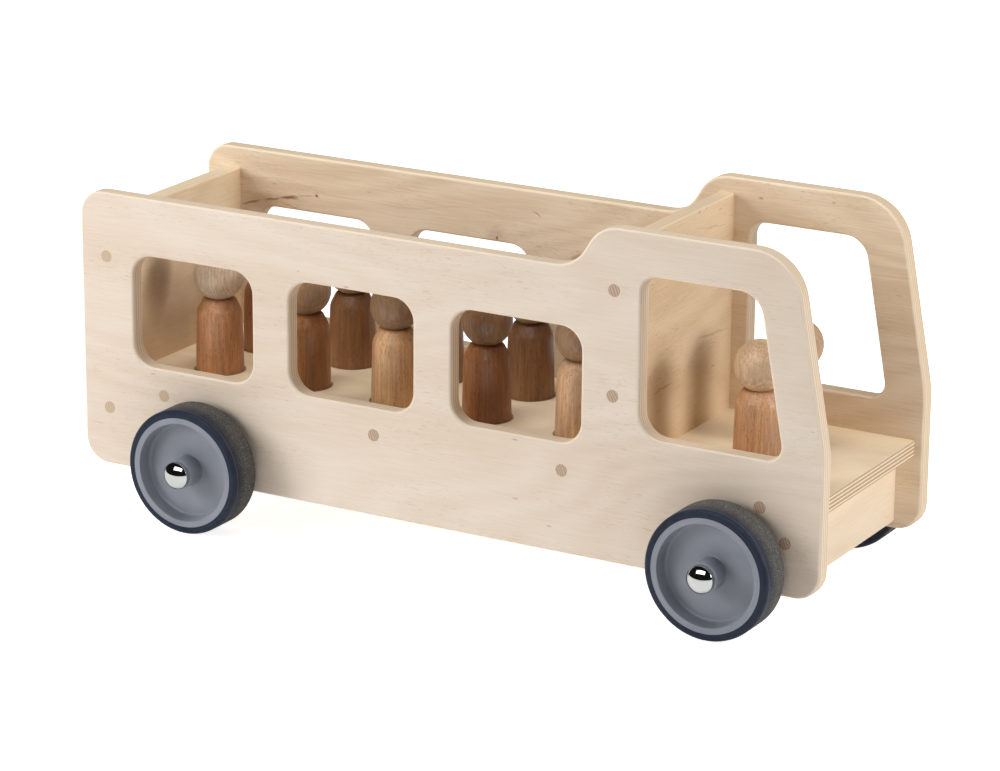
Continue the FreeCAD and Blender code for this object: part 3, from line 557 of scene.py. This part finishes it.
def tyre_rubber(name, axle_x, axle_z, side_y):
    """Worn tread far out and away from the side, which lies at side_y; a pale line between them is a painted
    highlight along the shoulder.
    """
    finish = Finish(name, Specular_IOR_Level=0.22)
    at, place = finish.place(), finish.whole_place()
    spoke = finish.joined(finish.math("SUBTRACT", at[X], axle_x), finish.math("SUBTRACT", at[Z], axle_z), 0.0)
    far_out = finish.ease(finish.vector("LENGTH", spoke, result="Value"), TREAD_FROM, TREAD_FULL)
    inward = finish.math("SUBTRACT", side_y, finish.math("ABSOLUTE", at[Y]))
    tread = finish.math("MULTIPLY", far_out, finish.ease(inward, 0.003, 0.015, 0.05))
    # painted highlight: a pale line along the shoulder, a little in from the tyre's side
    shoulder_highlight = finish.ease(finish.math("ABSOLUTE", finish.math("SUBTRACT", inward, SHOULDER_HIGHLIGHT_AT)), 0.0005, 0.0001)
    dust = finish.noise(place, (120.0, 60.0, 120.0), 4.0, 0.65)
    grit = finish.noise(place, (1400.0, 1400.0, 1400.0), 2.0, 0.7)
    specks = finish.noise(place, (1900.0, 1900.0, 1900.0), 0.0)
    side = finish.blend(finish.ease(dust, 0.3, 0.8), SIDE_DARK, SIDE_LIGHT)
    side = finish.blend(finish.math("MULTIPLY", shoulder_highlight, 0.5), side, SHOULDER_HIGHLIGHT)
    worn = finish.blend(finish.ease(grit, 0.35, 0.7), TREAD_DARK, TREAD_LIGHT)
    worn = finish.blend(finish.ease(dust, 0.35, 0.75), worn, DUST)
    worn = finish.blend(finish.ease(specks, 0.74, 0.80), worn, SPECK)
    finish.give(Base_Color=finish.blend(tread, side, worn))
    finish.give(Roughness=finish.ease(tread, 0.0, 1.0, 0.46, 0.85))
    finish.bump(finish.math("MULTIPLY", grit, finish.ease(tread, 0.0, 1.0, 0.15, 1.0)), TREAD_RELIEF)
    return finish.material


rim_grey = rim_plastic("rim_plastic", RIM_LIGHT, RIM_DARK)
for end in ("front", "rear"):
    tyre_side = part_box(end + "_far_tyre")[1].y
    rubber = tyre_rubber(end + "_rubber", *middle_of(end + "_axle", X, Z), tyre_side)
    for side in ("near", "far"):
        dress("%s_%s_rim" % (end, side), rim_grey)
        dress("%s_%s_tyre" % (end, side), rubber)
print("wheels dressed")

# %% [markdown]
# ## Bright metal
# The dome caps are plated, so nearly all that is seen on them is the studio. The rods and washers are
# plain drawn steel, with fine lines along the bar.

# %% Metals
PLATE, BAR, BAR_RELIEF = seen(206, 208, 206), seen(176, 176, 178), 0.00003
chrome = Finish("bright_plate", Metallic=1.0, Base_Color=PLATE)
smear = chrome.noise(chrome.whole_place(), (160.0, 160.0, 160.0), 3.0)
chrome.give(Roughness=chrome.ease(smear, 0.35, 0.8, 0.03, 0.09))
steel = Finish("drawn_steel", Metallic=1.0, Base_Color=BAR)
lines = steel.noise(steel.whole_place(), (2200.0, 60.0, 2200.0))
steel.give(Roughness=steel.ease(lines, 0.3, 0.8, 0.28, 0.5))
steel.bump(lines, BAR_RELIEF)
for end in ("front", "rear"):
    dress(end + "_axle_caps", chrome.material)
    dress(end + "_axle", steel.material)
    dress(end + "_axle_washers", steel.material)
print("rods and washers dressed")

# %% [markdown]
# ## Dome caps
# A cap is pressed from thin sheet: a short straight skirt, a tight bend, and a dome flatter than half a
# ball. In bright plate that shape decides what is mirrored at the rim, so the caps are turned here from
# a profile. It is written by the angle at which the surface leans, the natural way to hold two arcs
# that meet without a crease.

# %% Caps from a profile
def turned(name, profile, middle, foot, outward):
    """The profile's points (radius r, height h) carried round the axle: x = middle x + r cos t,
    y = outward (foot + h), z = middle z + r sin t. Rows are profile points, columns are turns t."""
    t = -outward * np.linspace(0.0, 2 * math.pi, 72, endpoint=False)
    radius, height = profile[:, 0, None], profile[:, 1, None]
    x = middle[0] + radius * np.cos(t)
    y = np.broadcast_to(outward * (foot + height), x.shape)
    z = middle[1] + radius * np.sin(t)
    return surface(name, np.stack([x, y, z], axis=-1))


CAP_HEIGHT, CAP_BEND, CAP_LEAN, ROD_ROOM = 0.0080, 0.0010, math.radians(55.0), 0.00002


def cap_profile(radius, bore, bore_depth):
    """From the bottom of the bore, out over the foot and skirt, to the crown. By its lean a the dome is
    r = R sin a, h = height - R (1 - cos a) up to CAP_LEAN, and then the same with the bend's radius."""
    ball = (radius - CAP_BEND) / math.sin(CAP_LEAN) + CAP_BEND
    on_ball = np.linspace(0.004, CAP_LEAN, 16)
    on_bend = np.linspace(CAP_LEAN, math.pi / 2, 7)[1:]
    dome = np.stack([ball * np.sin(on_ball), CAP_HEIGHT - ball + ball * np.cos(on_ball)], axis=1)
    corner = np.array([(ball - CAP_BEND) * math.sin(CAP_LEAN),
                       CAP_HEIGHT - ball + (ball - CAP_BEND) * math.cos(CAP_LEAN)])
    round_off = corner + CAP_BEND * np.stack([np.sin(on_bend), np.cos(on_bend)], axis=1)
    skirt = np.array([(radius, 0.0006), (radius, 0.0003), (radius - 0.0001, 0.0001), (radius - 0.0003, 0.0)])
    inner = np.array([(bore, 0.0), (bore, bore_depth), (0.00004, bore_depth)])
    return np.concatenate([dome, round_off, skirt, inner])[::-1]


MERGE_WITHIN = 0.00003


def closed_up(piece):
    """Merge what meets at the poles and turn every face outwards."""
    shell = bmesh.new()
    shell.from_mesh(piece.data)
    bmesh.ops.remove_doubles(shell, verts=shell.verts, dist=MERGE_WITHIN)
    bmesh.ops.holes_fill(shell, edges=shell.edges, sides=80)
    bmesh.ops.recalc_face_normals(shell, faces=shell.faces)
    shell.to_mesh(piece.data)
    shell.free()


for end in ("front", "rear"):
    low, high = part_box(end + "_axle_caps")
    rod_low, rod_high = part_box(end + "_axle")
    cap_radius, rod_radius = (high.x - low.x) / 2, (rod_high.x - rod_low.x) / 2
    foot = high.y - CAP_HEIGHT
    profile = cap_profile(cap_radius, rod_radius + ROD_ROOM, rod_high.y - foot + ROD_ROOM)
    axle_middle = middle_of(end + "_axle_caps", X, Z)
    for side, outward in (("near", -1), ("far", 1)):
        cap = turned("%s_%s_dome_cap" % (end, side), profile, axle_middle, foot, outward)
        closed_up(cap)
        cap.data.materials.append(chrome.material)
        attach(cap, end + "_axle_set")
        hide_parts(end + "_axle_caps")
print("caps turned, radius", round(cap_radius, 5), "foot", round(foot, 5))

# %% [markdown]
# ## The studio
# The chrome tells how the bus was lit. It shows a wide lamp in front and above, a small one at the
# right, a white table below, and a dark room. The wood tells the rest: light from above and from the
# front left, and pale screens on all sides, so low that they carry light under the roof line. The caps
# don't show these, so the lamps that stand for them are left out of reflections, and the wide one is
# seen in reflections alone. The table is a wide round sheet that glows a little, and more so far out,
# because the real one went white in the picture.

# %% Table
TABLE_WHITE, TABLE_GLOW, WHITE_FROM, WHITE_FULL = 0.68, 0.15, 0.8, 3.0
rings_out = np.concatenate([[0.0], np.geomspace(0.4, 25.0, 24)])
turns_round = np.linspace(0.0, 2 * math.pi, 96, endpoint=False)
# distance from the middle goes along the rows, the turn along the columns
table_grid = np.stack([rings_out[:, None] * np.cos(turns_round), rings_out[:, None] * np.sin(turns_round),
                       np.zeros((len(rings_out), len(turns_round)))], axis=-1)
table = surface("table", table_grid)
paper = Finish("table_white", Base_Color=seen(250, 250, 250), Roughness=0.9)
straight_look = paper.node("LightPath", result="Is Camera Ray")
from_middle = paper.vector("LENGTH", paper.whole_place(), result="Value")
whiteness = paper.ease(from_middle, WHITE_FROM, WHITE_FULL, TABLE_WHITE, 1.0)
glow = paper.math("MULTIPLY_ADD", straight_look, whiteness, TABLE_GLOW)
paper.give(Emission_Color=(1.0, 1.0, 1.0, 1.0), Emission_Strength=glow)
table.data.materials.append(paper.material)
print("table laid, radius", rings_out[-1])


# %% Lamps
LAMP_AIM = (0.0, 0.0, 0.12)
# where each lamp stands, its width and height, and its power in watts
LAMPS = {
    "right_low": ((1.3, 0.02, 0.5), 0.3, 0.3, 5.4),
    "top": ((0.0, -0.2, 1.6), 0.8, 0.8, 12.2),
    "key": ((-1.13, -1.75, 1.2), 0.9, 0.8, 7.0),
    "front_left": ((-1.7, -1.5, 0.9), 1.0, 1.0, 24.0),
    "low_left": ((-1.2, -1.9, 0.35), 1.2, 0.5, 4.0),
    "right_mid": ((1.7, 0.2, 0.85), 0.5, 0.5, 4.6),
    "left": ((-2.2, 0.0, 0.8), 0.9, 0.9, 8.0),
    "behind": ((-0.3, 2.3, 0.7), 1.8, 0.9, 14.0),
    "shine": ((0.08, -1.28, 1.42), 1.95, 0.75, 18.0),
}
MIRRORED, ONLY_MIRRORED = ("right_low", "shine"), ("shine",)


def softbox(name, spot, width, height, power):
    """A flat lamp of that width and height, looking from spot to LAMP_AIM, that the camera doesn't see."""
    lamp = bpy.data.lights.new(name, "AREA")
    lamp.shape, lamp.size, lamp.size_y, lamp.energy = "RECTANGLE", width, height, power
    made = bpy.data.objects.new(name, lamp)
    bpy.context.scene.collection.objects.link(made)
    out = np.array(spot) - np.array(LAMP_AIM)
    out /= np.linalg.norm(out)
    side = np.cross([0.0, 0.0, 1.0] if abs(out[Z]) < 0.99 else [0.0, 1.0, 0.0], out)
    side /= np.linalg.norm(side)
    turn = np.stack([side, np.cross(out, side), out], axis=1)
    made.matrix_world = Matrix(np.vstack([np.column_stack([turn, spot]), [0, 0, 0, 1]]).tolist())
    made.visible_camera = False
    return made


for name, (spot, width, height, power) in LAMPS.items():
    lamp = softbox(name, spot, width, height, power)
    lamp.visible_glossy = name in MIRRORED
    lamp.visible_diffuse = name not in ONLY_MIRRORED
print("lamps:", len(LAMPS))

# %% The room
world = bpy.data.worlds.new("studio")
bpy.context.scene.world = world
world.use_nodes = True
room = world.node_tree
room.nodes.clear()
path = room.nodes.new("ShaderNodeLightPath")
seen_room, dim_room = room.nodes.new("ShaderNodeBackground"), room.nodes.new("ShaderNodeBackground")
choice, world_out = room.nodes.new("ShaderNodeMixShader"), room.nodes.new("ShaderNodeOutputWorld")
seen_room.inputs["Color"].default_value = (1.0, 1.0, 1.0, 1.0)
dim_room.inputs["Color"].default_value = (0.01, 0.01, 0.01, 1.0)
room.links.new(path.outputs["Is Camera Ray"], choice.inputs[0])
room.links.new(dim_room.outputs[0], choice.inputs[1])
room.links.new(seen_room.outputs[0], choice.inputs[2])
room.links.new(choice.outputs[0], world_out.inputs["Surface"])
bpy.context.scene.view_settings.view_transform = "Standard"
